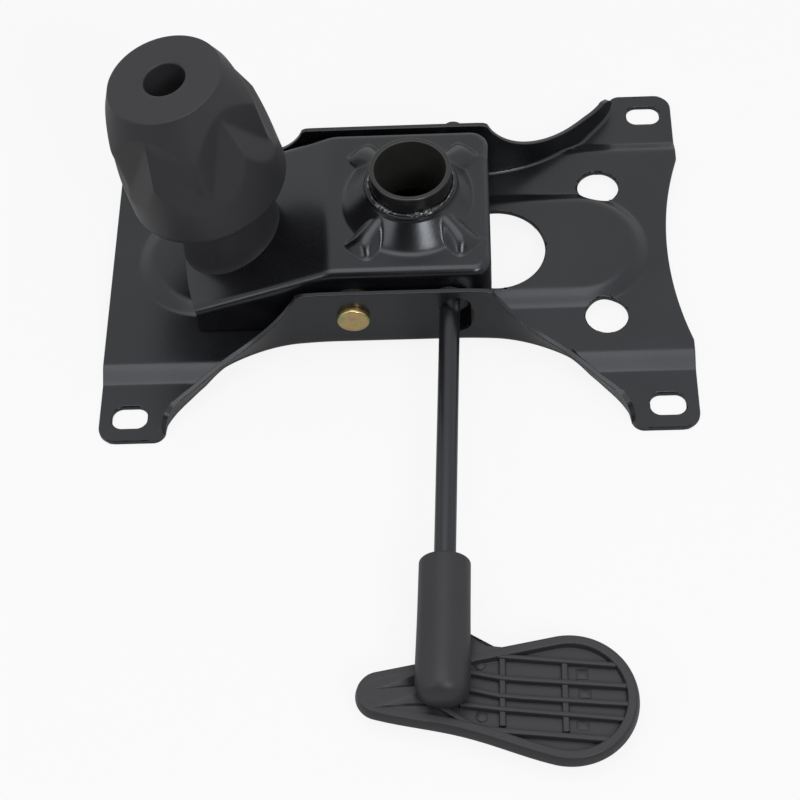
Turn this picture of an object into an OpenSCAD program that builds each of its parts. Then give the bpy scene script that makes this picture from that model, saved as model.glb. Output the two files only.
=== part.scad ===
// Office chair tilt mechanism, in millimetres, lying on its seat face as it would on a bench.
// X runs to the back of the chair, Y to the side away from the lever, Z away from the seat.
// The origin is the middle of the four seat slots, in the plane that meets the seat.

/* [Seat plate] */
// Spacing of the seat slots along the chair
slot_pitch_x = 210; // [190:1:230]
// Spacing of the seat slots across the chair
slot_pitch_y = 150; // [140:1:170]
// Length of a seat slot, along the chair
slot_l = 14; // [11:0.5:18]
// Width of a seat slot
slot_w = 10; // [6:0.5:10.5]
// From a slot's centre to the end of the plate
end_margin = 12; // [10:0.5:16]
// From a slot's centre to the side of the plate
side_margin = 12.5; // [9:0.5:16]
// Radius of the corners of the four tabs
tab_r = 7; // [3:0.5:8]
// Radius of the tab corners that meet the waist
tab_in_r = 5; // [3:0.5:6]
// Thickness of the plate's sheet
plate_t = 2; // [1.5:0.1:2.4]
// How far the middle of the plate stands above its tabs
joggle_h = 3.5; // [2:0.1:4]
// Length of the ramp between a tab and the middle
joggle_l = 6.5; // [4:0.5:8]
// From the middle line to the start of that ramp
joggle_y = 52; // [48:0.5:54]
// Radius of the hollow in the plate's back edge
back_hollow_r = 157; // [140:1:190]
// Depth of that hollow
back_hollow_depth = 7.2; // [2:0.1:9]
// Middle of the raised rib's round end towards the front
rib_front_x = -77; // [-80:0.5:-72]
// Middle of the raised rib's round end towards the back
rib_back_x = 73; // [68:0.5:76]
// Radius of the raised rib at its foot
rib_foot_r = 28.5; // [27:0.5:30]
// Radius of the raised rib at its top
rib_top_r = 23; // [21:0.5:25]
// Height of the raised rib above the plate
rib_h = 3.5; // [2.5:0.1:3.8]
// Diameter of the large round hole
access_d = 40; // [30:0.5:43]
// Place of the large round hole along the chair
access_x = 40.3; // [38:0.1:45]
// Diameter of the two smaller round holes
relief_d = 17; // [10:0.5:18]
// Place of the two smaller holes along the chair
relief_x = 82.7; // [78:0.1:86]
// From the middle line to each smaller hole
relief_y = 33.2; // [31:0.1:38]

/* [Cheeks] */
// Width over the outer faces of the two cheeks
cheeks_w = 87; // [86:0.5:90]
// Height of the cheeks above the seat face
cheek_h = 35.5; // [34:0.5:38]
// Half the length of the straight part of a cheek
cheek_half_l = 38; // [36:0.5:42]
// Radius of the waist between a cheek and a tab
waist_r = 55; // [52:0.5:58]
// Height of the low lip that runs on along the waist
lip_h = 10.6; // [10:0.1:14]
// Radius of the hollow where a cheek falls to its lip
cheek_fall_r = 40; // [36:0.5:44]
// How far past its straight part a cheek starts to fall
cheek_ease = 0.6; // [0.3:0.1:2]
// How far the lip stops short of the plate's side
lip_stop = 5.5; // [4:0.5:8]

/* [Pivot] */
// Place of the pivot along the chair
pivot_x = -16.3; // [-18:0.1:-14]
// Height of the pivot above the seat face
pivot_z = 21.6; // [20:0.1:23]
// Diameter of the pivot pin
pin_d = 9; // [8:0.1:9.6]
// Diameter of the pin's head
pin_head_d = 12.6; // [11.5:0.1:16]
// Thickness of the pin's head
pin_head_t = 1.8; // [1:0.1:3]
// Diameter of the push-on ring at the pin's far end
pin_ring_d = 15; // [13:0.1:17]
// Thickness of that ring
pin_ring_t = 1.2; // [0.8:0.1:2]
// How far the pin's far end stands past the ring
pin_tail = 1.6; // [1:0.1:3]
// Outer diameter of the pivot sleeve
sleeve_d = 15; // [14:0.1:16]
// Wall of the pivot sleeve
sleeve_t = 1.5; // [1:0.1:1.8]
// How far a bush reaches into the sleeve
bush_l = 12; // [8:0.5:20]
// Diameter of a bush's flange
bush_flange_d = 18; // [16.5:0.1:20]
// Running clearance round the pin and the lever rod
run_gap = 0.05; // [0.02:0.01:0.08]
// End play of the housing between the cheeks, at each side
end_play = 0.2; // [0.1:0.05:0.5]

/* [Tilt housing] */
// Thickness of the housing's sheet
shell_t = 2; // [1.6:0.1:2.4]
// Room between each cheek and the housing's wall
side_room = 5; // [4.4:0.1:6]
// Height of the flat top above the seat face
housing_top_z = 39.5; // [39:0.1:42]
// Place of the housing's back wall
housing_back_x = 38; // [36.5:0.1:40]
// Place of the bend where the arm starts to slope
arm_bend_x = -25; // [-27:0.5:-24]
// Place of the arm's front edge, on the middle line
arm_front_x = -85.5; // [-90:0.5:-84]
// Slope of the arm in degrees
arm_slope = 21; // [19:0.5:22]
// Radius of the folds along the top
fold_r = 6.5; // [5:0.5:8]
// Radius of the two back corners, seen from above
back_corner_r = 7; // [5:0.5:9]
// Radius of the bow in the arm's front edge
front_bow_r = 110; // [90:1:160]
// Height of the arm's lower edges above the plate at rest
rest_gap = 0.5; // [0.3:0.1:1]
// Height of the lower edge of the back wall
back_wall_z = 22.2; // [22:0.1:26]

/* [Gas lift socket] */
// Place of the socket along the chair
socket_x = 7.4; // [6:0.1:8]
// Height of the socket's mouth above the seat face
socket_mouth_z = 58.3; // [56:0.1:64]
// Height of the socket's inner end
socket_end_z = 30.6; // [30.4:0.1:32]
// Diameter of the socket's taper at its mouth
socket_mouth_d = 28; // [27:0.1:28.6]
// Half angle of the taper in degrees
taper_half_angle = 1.438; // [0.5:0.001:1.5]
// Wall of the tube at its mouth
socket_wall = 2.1; // [1.5:0.1:2.6]
// Height of the drawn collar's rim above the seat face
collar_z = 50; // [48.5:0.1:52]
// Radius of the flare at the foot of the collar
collar_flare_r = 8; // [6:0.5:8.5]
// Size of the weld round the tube
weld_r = 2; // [1.2:0.1:2.4]
// From the socket's middle to the outer end of each gusset
gusset_reach = 35; // [33:0.5:36]
// Half the width of a gusset
gusset_r = 5; // [4:0.5:6]
// How far a gusset's crest stands below the collar's rim
gusset_drop = 3; // [2:0.5:5]
// Thickness of the stay plate inside the housing
stay_t = 2.5; // [2:0.1:3]
// Length of the stay plate along the chair
stay_l = 39; // [37:0.5:42]

/* [Lever] */
// Place of the lever rod on the middle line, along the chair
rod_x = 22.6; // [22:0.1:23]
// Height of the lever rod on the middle line
rod_z = 25; // [24:0.1:25.4]
// Diameter of the lever rod
rod_d = 8; // [7:0.1:8.4]
// Turn of the rod towards the front, in degrees
rod_yaw = 1.66; // [0:0.01:2]
// Slope of the rod towards the seat side, in degrees
rod_fall = 2; // [0:0.1:2.2]
// How far the rod's far end stands out of its cheek
rod_tail = 5.5; // [3:0.5:12]
// Width of the slots in the cheeks that let the rod move
cheek_slot_w = 12; // [11.8:0.1:12.6]
// Height of the lower end of those slots
cheek_slot_low_z = 10; // [9.4:0.1:10.2]
// Height of the upper end of those slots
cheek_slot_high_z = 32; // [31.8:0.1:32.6]
// Outer diameter of a rod bush in the housing wall
rod_bush_d = 11; // [10.5:0.1:12]
// Diameter of a rod bush's flange
rod_bush_flange_d = 14.5; // [13.5:0.1:15]
// Thickness of a rod bush's flange
rod_bush_flange_t = 1.6; // [1:0.1:2]
// Diameter of the clip on the rod
rod_clip_d = 14; // [12:0.1:16]
// Thickness of the clip on the rod
rod_clip_t = 1; // [0.6:0.1:1.2]
// Length of the release tongue from the rod's axis
tongue_l = 24; // [20:0.5:25]
// Width of the release tongue
tongue_w = 16; // [10:0.5:17]
// Thickness of the release tongue
tongue_t = 3; // [2:0.1:4]

/* [Handle] */
// From the middle line to the inner end of the grip
grip_start = 154; // [140:0.5:160]
// Length of the grip
grip_l = 52.5; // [48:0.5:60]
// Diameter of the grip at its inner end
grip_d = 19; // [16:0.1:22]
// Diameter of the grip at its outer end
grip_end_d = 20; // [18:0.1:22]
// How deep the rod reaches into the grip
rod_in_grip = 40; // [20:0.5:42]
// From the grip's outer end back to the middle of the paddle's broad end
paddle_back = 4.2; // [2:0.1:8]
// Turn of the paddle against the rod, in degrees
paddle_turn = 1.6; // [0:0.1:3]
// From the rod to the centre of the paddle's broad end
lobe_x = 44.3; // [40:0.1:55]
// Radius of the paddle's broad end
lobe_r = 23.3; // [22:0.1:28]
// From the rod to the centre of the paddle's narrow end
tail_x = 22.4; // [18:0.1:26]
// Radius of the paddle's narrow end
tail_r = 8.2; // [7:0.1:10]
// Thickness of the paddle over its rim
paddle_t = 6; // [5:0.1:7]
// Thickness of the paddle's floor
paddle_floor_t = 2.2; // [1.5:0.1:3]
// Width of the paddle's rim
paddle_rim_w = 3.4; // [2.5:0.1:4]
// How far the paddle's rim lies below the rod's axis
paddle_drop = 5.5; // [3:0.1:6]
// Spacing of the ribs along the paddle
paddle_rib_pitch = 6.7; // [6:0.1:7.2]
// Width of a rib along the paddle
paddle_rib_w = 1.6; // [1:0.1:2.4]
// Turn of those ribs against the paddle, in degrees
paddle_rib_turn = 5; // [0:0.5:6]
// Spacing of the two ribs across the paddle
cross_rib_pitch = 22; // [16:0.5:26]

/* [Tension spring and knob] */
// Place of the bolt's swivel along the chair
bolt_x = -62.8; // [-64:0.1:-61]
// Height of the bolt's swivel above the seat face
bolt_z = 3; // [2.9:0.1:3.4]
// Lean of the bolt to the front, in degrees
bolt_lean = 9.2; // [7:0.1:11]
// Diameter of the bolt
bolt_d = 10; // [8:0.1:10.4]
// Diameter of the bolt's hole in the raised rib
bolt_hole_d = 14; // [13:0.1:15]
// Diameter of the cross pin in the bolt's round head
bolt_pin_d = 4.8; // [3:0.1:5.4]
// Length of that cross pin
bolt_pin_l = 20; // [17:0.5:24]
// Gap between the bolt's round head and the edge of its hole
bolt_head_gap = 0.15; // [0.1:0.05:0.4]
// Diameter of the bolt's hole in the arm and the spring cover
arm_hole_d = 18; // [16:0.5:19]
// From the bolt's swivel to the lower rim of the knob
knob_start = 50.2; // [49:0.1:54]
// Height of the knob
knob_h = 60.4; // [58:0.1:70]
// Largest radius of the knob, near its rim
knob_rim_r = 31.4; // [30.8:0.1:34]
// Radius of the knob's top
knob_top_r = 21.8; // [20:0.1:23]
// Angle of the shoulder below the knob's top, against the knob's axis
shoulder_angle = 24; // [22:0.1:27]
// Radius of the rounding at the knob's rim
knob_rim_round = 4; // [2:0.5:5]
// Diameter of the hole in the knob's top
knob_hole_d = 16; // [12:0.1:17]
// Number of flats round the knob's grip
flats = 5; // [4:1:6]
// Turn of the first flat from the back of the chair, in degrees
flat_turn = 34; // [0:1:72]
// From the knob's axis to a flat
flat_r = 24.9; // [24:0.1:26]
// Height above the rim where a ridge starts on each flat
ridge_z = 50.5; // [46:0.5:52]
// Turn of a ridge's two sides from the flat, in degrees
ridge_turn = 30; // [24:0.5:32]
// Lean of a ridge's two sides against the knob's axis, in degrees
ridge_lean = 16; // [14:0.5:18]
// Radius of the knob's cavity at its rim
cavity_r = 25; // [24.6:0.1:26]
// Radius of the knob's cavity at its end
cavity_end_r = 21.3; // [20.8:0.1:21.4]
// Depth of the knob's cavity
cavity_l = 28; // [27:0.5:30]
// Size across the flats of the nut
nut_af = 17; // [15:0.5:18]
// Height of the nut
nut_h = 8; // [6:0.1:9]
// How far the bolt stands past the nut
bolt_past_nut = 5.5; // [3:0.5:8]
// Radius of the spring cover at its foot
cover_foot_r = 20.5; // [19:0.1:21]
// Radius of the spring cover at its top
cover_top_r = 18; // [17.5:0.1:18.5]
// Wall of the spring cover at its top
cover_t = 2.2; // [1.5:0.1:2.4]
// How far the spring cover reaches into the knob
cover_overlap = 3; // [1:0.5:4]
// Thickness of the cover's floor at its thinnest
cover_floor_t = 1.5; // [1:0.1:2.5]
// Diameter of the spring's wire
wire_d = 4.5; // [3.5:0.1:4.6]
// Outer diameter of the spring
spring_d = 30.4; // [26:0.1:30.6]
// Number of turns of the spring
spring_turns = 6; // [4:0.5:6.5]
// Thickness of the spring seat under the knob
seat_washer_t = 2.5; // [1.5:0.1:3]
// Diameter of the spring seat
seat_washer_d = 33; // [31:0.5:36]

/* [Hidden] */
$fn = 96;

// A long reach for cutters, how far short cutters run past a face, and the overlap that merges two shapes
far = 400;
over = 1;
bite = 0.1;

// Seat plate
plate_half_l = slot_pitch_x / 2 + end_margin;
plate_half_w = slot_pitch_y / 2 + side_margin;
cheek_out_y = cheeks_w / 2;
cheek_in_y = cheek_out_y - plate_t;
waist_y = cheek_out_y + waist_r;
lip_end_y = plate_half_w - lip_stop;
plate_top_z = joggle_h + plate_t;
rib_top_z = plate_top_z + rib_h;
fall_z = lip_h + cheek_fall_r;
fall_x = cheek_half_l + cheek_ease + sqrt(pow(cheek_fall_r, 2) - pow(fall_z - cheek_h, 2));

// Housing and socket
wall_out_y = cheek_in_y - side_room;
wall_in_y = wall_out_y - shell_t;
arm_low_z = plate_top_z + rest_gap;
tube_r = socket_mouth_d / 2 + socket_wall;
collar_r = tube_r + shell_t;
socket_end_r = socket_mouth_d / 2 - (socket_mouth_z - socket_end_z) * tan(taper_half_angle);
stay_set_up = 0.4;
stay_z = socket_end_z + stay_set_up;
sleeve_in_r = sleeve_d / 2 - sleeve_t;
bush_flange_t = side_room - end_play;
// Largest tilt that the lower edges of the side walls leave room for
tilt_max = 12;
// How much wider the arm's section is at each side, so that its folds cross the level ones at clear points
arm_spread = 0.15;

// Bolt axis: distances along it are measured from the bolt's swivel
arm_at_bolt = (housing_top_z - (arm_bend_x - bolt_x) * tan(arm_slope) - bolt_z)
  / (cos(bolt_lean) + sin(bolt_lean) * tan(arm_slope));
cover_top = knob_start + cover_overlap;
cover_floor = arm_at_bolt + cover_foot_r * tan(arm_slope - bolt_lean) + cover_floor_t;
washer_top = knob_start + cavity_l;
washer_low = washer_top - seat_washer_t;
nut_top = washer_top + nut_h;
bolt_end = nut_top + bolt_past_nut;
bolt_head_r = norm([bolt_hole_d / 2, rib_top_z - plate_t - bolt_z]) - bolt_head_gap;
bolt_head_cut = 1;
washer_gap = 0.4;
shoulder_z = knob_h - (knob_rim_r - knob_top_r) / tan(shoulder_angle);
spring_mean_r = (spring_d - wire_d) / 2;
spring_rings = 20;
spring_sides = 8;

// Lever: the rod's own frame has its axis on Y, with the handle at -Y
bush_y = wall_out_y / cos(rod_yaw);
rod_skew = tan(rod_yaw + rod_fall);
bush_seat_y = bush_y + rod_bush_flange_d / 2 * rod_skew;
bush_in_y = bush_y - shell_t + rod_bush_d / 2 * rod_skew;
grip_end = grip_start + grip_l;
lobe_y = paddle_back - grip_end;
paddle_low = -paddle_drop - paddle_t;
// How far the ribs stay below the rim, and half the length of the ribs across
rib_set_down = 0.4;
cross_rib_half = 2 * paddle_rib_pitch + paddle_rib_w;

paint = [0.10, 0.105, 0.12];
moulded = [0.16, 0.16, 0.17];
zinc = [0.72, 0.66, 0.42];
steel = [0.55, 0.56, 0.58];
nylon = [0.13, 0.13, 0.135];

module along_x(l) { rotate([90, 0, 90]) linear_extrude(l) children(); }
module along_y(l) { rotate([90, 0, 0]) linear_extrude(l, center = true) children(); }
module each_side() { for (s = [-1, 1]) scale([1, s]) children(); }
module at_pivot() { translate([pivot_x, 0, pivot_z]) rotate([90, 0, 0]) children(); }
module at_bolt(s = 0) {
  translate([bolt_x, 0, bolt_z]) rotate([0, -bolt_lean, 0]) translate([0, 0, s]) children();
}
module at_rod() { translate([rod_x, 0, rod_z]) rotate([rod_fall, 0, -rod_yaw]) children(); }
module round_y(r, y0, y1) { translate([0, y1, 0]) rotate([90, 0, 0]) cylinder(r = r, h = y1 - y0); }

// Seat plate

// The waist cut out of one long side, grown by g
module waist(g = 0) {
  translate([-cheek_half_l, cheek_out_y - g]) square([2 * cheek_half_l, far]);
  for (s = [-1, 1]) translate([s * cheek_half_l, waist_y]) circle(waist_r + g);
}

// What rounds the tab corner that meets the waist: the corner less a circle touching both edges
module tab_inner_corner() {
  cy = plate_half_w - tab_in_r;
  cx = cheek_half_l + sqrt(pow(waist_r + tab_in_r, 2) - pow(waist_y - cy, 2));
  reach = waist_r / (waist_r + tab_in_r);
  touch = [cheek_half_l + (cx - cheek_half_l) * reach, waist_y + (cy - waist_y) * reach];
  difference() {
    polygon([[cx, cy], touch, [touch[0], plate_half_w + over], [cx, plate_half_w + over]]);
    translate([cx, cy]) circle(tab_in_r);
  }
}

module plate_plan() {
  half_l = plate_half_l - tab_r;
  half_w = plate_half_w - tab_r;
  difference() {
    union() {
      square([2 * half_l, 2 * plate_half_w], center = true);
      square([2 * plate_half_l, 2 * half_w], center = true);
      for (x = [-1, 1], y = [-1, 1]) translate([x * half_l, y * half_w]) circle(tab_r);
    }
    each_side() waist();
    each_side() tab_inner_corner();
    each_side() mirror([1, 0]) tab_inner_corner();
    translate([plate_half_l - back_hollow_depth + back_hollow_r, 0]) circle(back_hollow_r, $fn = 200);
  }
}

// Section across the chair, from the sheet's underside up to height h above it
module joggled(h) {
  foot = joggle_y + joggle_l;
  under = [[-far, 0], [-foot, 0], [-joggle_y, joggle_h], [joggle_y, joggle_h], [foot, 0], [far, 0]];
  upper = [for (i = [len(under) - 1:-1:0]) under[i] + [0, h]];
  polygon(concat(under, upper));
}

// The raised rib as a solid, with its top at the given height
module rib_form(top) {
  slope = (rib_foot_r - rib_top_r) / rib_h;
  low = top - rib_h - bite;
  low_r = rib_foot_r + bite * slope;
  for (x = [rib_front_x, rib_back_x])
    translate([x, 0, 0]) rotate_extrude() polygon([[0, low], [low_r, low], [rib_top_r, top], [0, top]]);
  translate([rib_front_x, 0, 0]) along_x(rib_back_x - rib_front_x)
    polygon([[-low_r, low], [low_r, low], [rib_top_r, top], [-rib_top_r, top]]);
}

// Height of the cheeks along the chair: a straight top that falls in a hollow to the lip
module cheek_side() {
  difference() {
    union() {
      translate([-plate_half_l, 0]) square([2 * plate_half_l, lip_h]);
      translate([-fall_x, 0]) square([2 * fall_x, cheek_h]);
    }
    for (s = [-1, 1]) translate([s * fall_x, fall_z]) circle(cheek_fall_r);
  }
}

module cheeks() {
  intersection() {
    linear_extrude(cheek_h) each_side() difference() {
      waist(plate_t);
      waist();
      translate([-far, lip_end_y]) square([2 * far, far]);
      for (s = [-1, 1])
        translate([s * (plate_half_l + far / 2 - end_margin), 0]) square(far, center = true);
    }
    along_y(far) cheek_side();
    translate([-far / 2, 0, 0]) along_x(far) joggled(far);
  }
}

module slot_2d(l, w) {
  square([l - w, w], center = true);
  for (s = [-1, 1]) translate([s * (l - w) / 2, 0]) circle(w / 2);
}

// The slots in both cheeks that the lever rod moves in as the seat tilts
module cheek_slots() {
  l = cheek_slot_high_z - cheek_slot_low_z;
  translate([rod_x, 0, cheek_slot_low_z + l / 2]) along_y(far) rotate(90) slot_2d(l, cheek_slot_w);
}

module seat_plate() {
  color(paint) difference() {
    union() {
      intersection() {
        translate([-far / 2, 0, 0]) along_x(far) joggled(plate_t);
        linear_extrude(plate_top_z + over) plate_plan();
      }
      rib_form(rib_top_z);
      cheeks();
    }
    translate([0, 0, -plate_t]) rib_form(rib_top_z);
    for (x = [-1, 1], y = [-1, 1]) translate([x * slot_pitch_x / 2, y * slot_pitch_y / 2, -over])
      linear_extrude(plate_t + 2 * over) slot_2d(slot_l, slot_w);
    translate([access_x, 0, 0]) cylinder(d = access_d, h = cheek_h);
    for (y = [-1, 1]) translate([relief_x, y * relief_y, 0]) cylinder(d = relief_d, h = cheek_h);
    translate([bolt_x, 0, 0]) cylinder(d = bolt_hole_d, h = cheek_h);
    at_pivot() cylinder(d = pin_d, h = far, center = true);
    cheek_slots();
  }
}

// Pivot

module pivot_pin() {
  l = cheeks_w + pin_ring_t + pin_tail;
  color(zinc) translate([pivot_x, 0, pivot_z]) {
    round_y(pin_d / 2, -cheek_out_y, -cheek_out_y + l);
    round_y(pin_head_d / 2, -cheek_out_y - pin_head_t, -cheek_out_y);
  }
}

module pin_ring() {
  color(steel) translate([pivot_x, 0, pivot_z]) difference() {
    round_y(pin_ring_d / 2, cheek_out_y, cheek_out_y + pin_ring_t);
    round_y(pin_d / 2, 0, far);
  }
}

module pivot_sleeve() {
  color(paint) at_pivot() difference() {
    cylinder(d = sleeve_d, h = 2 * wall_out_y, center = true);
    cylinder(r = sleeve_in_r, h = far, center = true);
  }
}

// One bush at +Y: a spigot in the sleeve and a flange that fills the room to the cheek
module pivot_bush() {
  difference() {
    union() {
      round_y(sleeve_in_r, wall_out_y - bush_l, wall_out_y + bush_flange_t);
      round_y(bush_flange_d / 2, wall_out_y, wall_out_y + bush_flange_t);
    }
    round_y(pin_d / 2 + run_gap, 0, far);
  }
}
module pivot_bush_near() { color(nylon) translate([pivot_x, 0, pivot_z]) mirror([0, 1, 0]) pivot_bush(); }
module pivot_bush_far() { color(nylon) translate([pivot_x, 0, pivot_z]) pivot_bush(); }

// Tilt housing

// Folded section of the housing with its top at zero, set in by i
module fold_section(i, spread) {
  w = wall_out_y - i + spread;
  r = fold_r - i;
  translate([-w, -far]) square([2 * w, far - i - r]);
  translate([r - w, -far]) square([2 * (w - r), far - i]);
  for (s = [-1, 1]) translate([s * (w - r), -i - r]) circle(r);
}

// A long bar of that section through the bend, at the given slope
module folded_bar(i, slope, spread) {
  translate([arm_bend_x, 0, housing_top_z]) rotate([0, -slope, 0]) translate([-far / 2, 0, 0])
    along_x(far) fold_section(i, spread);
}

// Plan of the housing: round back corners, open towards the front
module housing_plan(i) {
  w = wall_out_y - i;
  r = back_corner_r - i;
  x = housing_back_x - i;
  translate([-far, -w]) square([far + x - r, 2 * w]);
  translate([-far, r - w]) square([far + x, 2 * (w - r)]);
  for (s = [-1, 1]) translate([x - r, s * (w - r)]) circle(r);
}

// Side view of the housing: a round fold between the top and the back wall
module housing_side(i) {
  r = fold_r - i;
  x = housing_back_x - i;
  z = housing_top_z - i;
  translate([-far, -far]) square([far + x - r, far + z]);
  translate([-far, -far]) square([far + x, far + z - r]);
  translate([x - r, z - r]) circle(r);
}

module housing_form(i) {
  intersection() {
    translate([0, 0, -far / 2]) linear_extrude(far) housing_plan(i);
    along_y(far) housing_side(i);
    folded_bar(i, 0, 0);
    folded_bar(i, arm_slope, arm_spread);
  }
}

// Everything under the lower edges of the housing: level before the pivot, rising behind it with the tilt
module under_housing() {
  rise = (housing_back_x + over - pivot_x) * tan(tilt_max);
  along_y(far) polygon([
    [-far, -far], [-far, arm_low_z], [pivot_x, arm_low_z],
    [housing_back_x + over, arm_low_z + rest_gap + rise], [housing_back_x + over, -far]]);
  translate([housing_back_x - back_corner_r, 0, back_wall_z - far / 2])
    cube([4 * back_corner_r, 2 * (wall_out_y - back_corner_r), far], center = true);
}

// The collar drawn up round the tube: a flared sheet, as a quarter ring carried round
module collar() {
  foot_r = collar_r + collar_flare_r;
  flare_z = housing_top_z + collar_flare_r;
  translate([socket_x, 0, 0]) rotate_extrude() {
    translate([tube_r, flare_z - bite]) square([shell_t, collar_z - flare_z + bite]);
    intersection() {
      translate([foot_r, flare_z]) difference() {
        circle(collar_flare_r + shell_t);
        circle(collar_flare_r);
      }
      translate([tube_r, housing_top_z - shell_t])
        square([foot_r - tube_r + bite, collar_flare_r + shell_t]);
    }
  }
}

// Four half round gussets pressed up between the collar and the top
module gussets() {
  crest_z = collar_z - gusset_drop - gusset_r;
  fall = atan2(crest_z + gusset_r - housing_top_z, gusset_reach - tube_r);
  translate([socket_x, 0, 0]) intersection() {
    for (a = [45:90:315]) rotate(a) translate([tube_r, 0, crest_z]) rotate([0, 90 + fall, 0])
      cylinder(r = gusset_r, h = far);
    difference() {
      translate([0, 0, housing_top_z - bite]) cylinder(r = 2 * gusset_reach, h = collar_z);
      cylinder(r = tube_r + bite, h = far);
    }
  }
}

module tilt_housing() {
  color(paint) difference() {
    union() {
      difference() {
        intersection() {
          housing_form(0);
          translate([arm_front_x + front_bow_r, 0, 0]) cylinder(r = front_bow_r, h = far, $fn = 200);
        }
        housing_form(shell_t);
        translate([socket_x, 0, 0]) cylinder(r = collar_r + collar_flare_r, h = far);
      }
      collar();
      gussets();
    }
    under_housing();
    at_pivot() cylinder(d = sleeve_d, h = far, center = true);
    at_rod() rotate([90, 0, 0]) cylinder(d = rod_bush_d, h = far, center = true);
    at_bolt() cylinder(d = arm_hole_d, h = housing_top_z);
  }
}

module taper_tube() {
  step = over * tan(taper_half_angle);
  l = socket_mouth_z - socket_end_z;
  color(paint) translate([socket_x, 0, socket_end_z]) difference() {
    cylinder(r = tube_r, h = l);
    translate([0, 0, -over])
      cylinder(r1 = socket_end_r - step, r2 = socket_mouth_d / 2 + step, h = l + 2 * over);
  }
}

module tube_weld() {
  color(steel) translate([socket_x, 0, collar_z]) rotate_extrude() translate([tube_r, 0]) intersection() {
    circle(weld_r);
    square(weld_r);
  }
}

module tube_stay() {
  color(paint) difference() {
    translate([socket_x - stay_l / 2, -wall_in_y, stay_z]) cube([stay_l, 2 * wall_in_y, stay_t]);
    translate([socket_x, 0, 0]) cylinder(r = tube_r, h = far);
  }
}

// Lever

module rod_bush() {
  difference() {
    union() {
      round_y(rod_bush_d / 2, bush_in_y, bush_seat_y + bite);
      round_y(rod_bush_flange_d / 2, bush_seat_y, bush_seat_y + rod_bush_flange_t);
    }
    round_y(rod_d / 2 + run_gap, 0, far);
  }
}
module rod_bush_near() { color(nylon) at_rod() mirror([0, 1, 0]) rod_bush(); }
module rod_bush_far() { color(nylon) at_rod() rod_bush(); }

module lever_rod() {
  color(paint) at_rod() round_y(rod_d / 2, -grip_start - rod_in_grip, cheek_out_y + rod_tail);
}

module rod_clip() {
  y = bush_seat_y + rod_bush_flange_t + end_play;
  color(steel) at_rod() difference() {
    round_y(rod_clip_d / 2, y, y + rod_clip_t);
    round_y(rod_d / 2, 0, far);
  }
}

// A plate welded along the rod's front side, under the gas lift's button
module release_tongue() {
  tip_r = tongue_w / 2;
  color(paint) at_rod() difference() {
    translate([0, 0, -tongue_t / 2]) linear_extrude(tongue_t) {
      translate([tip_r - tongue_l, -tip_r]) square([tongue_l - tip_r, tongue_w]);
      translate([tip_r - tongue_l, 0]) circle(tip_r);
    }
    round_y(rod_d / 2, -far, far);
  }
}

// Outline of the paddle set in by i: two circles and a strip that nearly touches both
module paddle_plan(i = 0) {
  span = lobe_x + tail_x;
  a = acos((lobe_r - tail_r) / span);
  big = lobe_r - i;
  small = tail_r - i;
  translate([lobe_x, lobe_y]) rotate(-paddle_turn) {
    circle(big);
    translate([-span, 0]) circle(small);
    broad = (big - bite) * [-cos(a), sin(a)];
    narrow = (small - bite) * [-cos(a), sin(a)] - [span, 0];
    polygon([broad, narrow, [narrow[0], -narrow[1]], [broad[0], -broad[1]]]);
  }
}

// Ribs of the paddle: five along it and two across, from the grip to the rim
module paddle_ribs() {
  r = grip_end_d / 2;
  translate([lobe_x / 2, lobe_y]) rotate(-paddle_rib_turn) for (k = [-2:2])
    translate([r - lobe_x / 2, k * paddle_rib_pitch - paddle_rib_w / 2])
      square([lobe_x + lobe_r, paddle_rib_w]);
  for (k = [0, 1])
    translate([lobe_x + (k - 1) * cross_rib_pitch - 2 * paddle_rib_w, lobe_y - cross_rib_half])
      square([2 * paddle_rib_w, 2 * cross_rib_half]);
}

module lever_handle() {
  grip_r = grip_d / 2;
  end_r = grip_end_d / 2;
  color(moulded) at_rod() difference() {
    union() {
      translate([0, 0, paddle_low]) {
        linear_extrude(paddle_floor_t) paddle_plan();
        linear_extrude(paddle_t) difference() {
          paddle_plan();
          intersection() {
            paddle_plan(paddle_rim_w);
            translate([end_r - over, -far]) square(2 * far);
          }
        }
        linear_extrude(paddle_t - rib_set_down) intersection() {
          paddle_plan(paddle_rim_w / 2);
          paddle_ribs();
        }
      }
      translate([0, -grip_start, 0]) rotate([90, 0, 0])
        cylinder(r1 = grip_r, r2 = end_r, h = grip_l - end_r);
      translate([0, end_r - grip_end, 0]) sphere(end_r);
    }
    round_y(rod_d / 2, -grip_start - rod_in_grip, 0);
  }
}

// Tension spring and knob

module tension_bolt() {
  color(steel) at_bolt() {
    cylinder(d = bolt_d, h = bolt_end);
    intersection() {
      sphere(bolt_head_r);
      translate([0, 0, -bolt_head_cut]) cylinder(r = far, h = far);
    }
    round_y(bolt_pin_d / 2, -bolt_pin_l / 2, bolt_pin_l / 2);
  }
}

// A sleeve round the spring, square to the bolt, with its foot cut to the slope of the arm
module spring_cover() {
  taper = (cover_foot_r - cover_top_r) / (cover_top - arm_at_bolt);
  low_r = cover_foot_r + arm_at_bolt * taper;
  color(moulded) difference() {
    at_bolt() difference() {
      cylinder(r1 = low_r, r2 = cover_top_r, h = cover_top);
      translate([0, 0, cover_floor]) cylinder(r = cover_top_r - cover_t, h = far);
      cylinder(d = arm_hole_d, h = far, center = true);
    }
    translate([arm_bend_x, 0, housing_top_z]) rotate([0, -arm_slope, 0]) translate([-far, -far / 2, -far])
      cube([2 * far, far, far]);
  }
}

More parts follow.
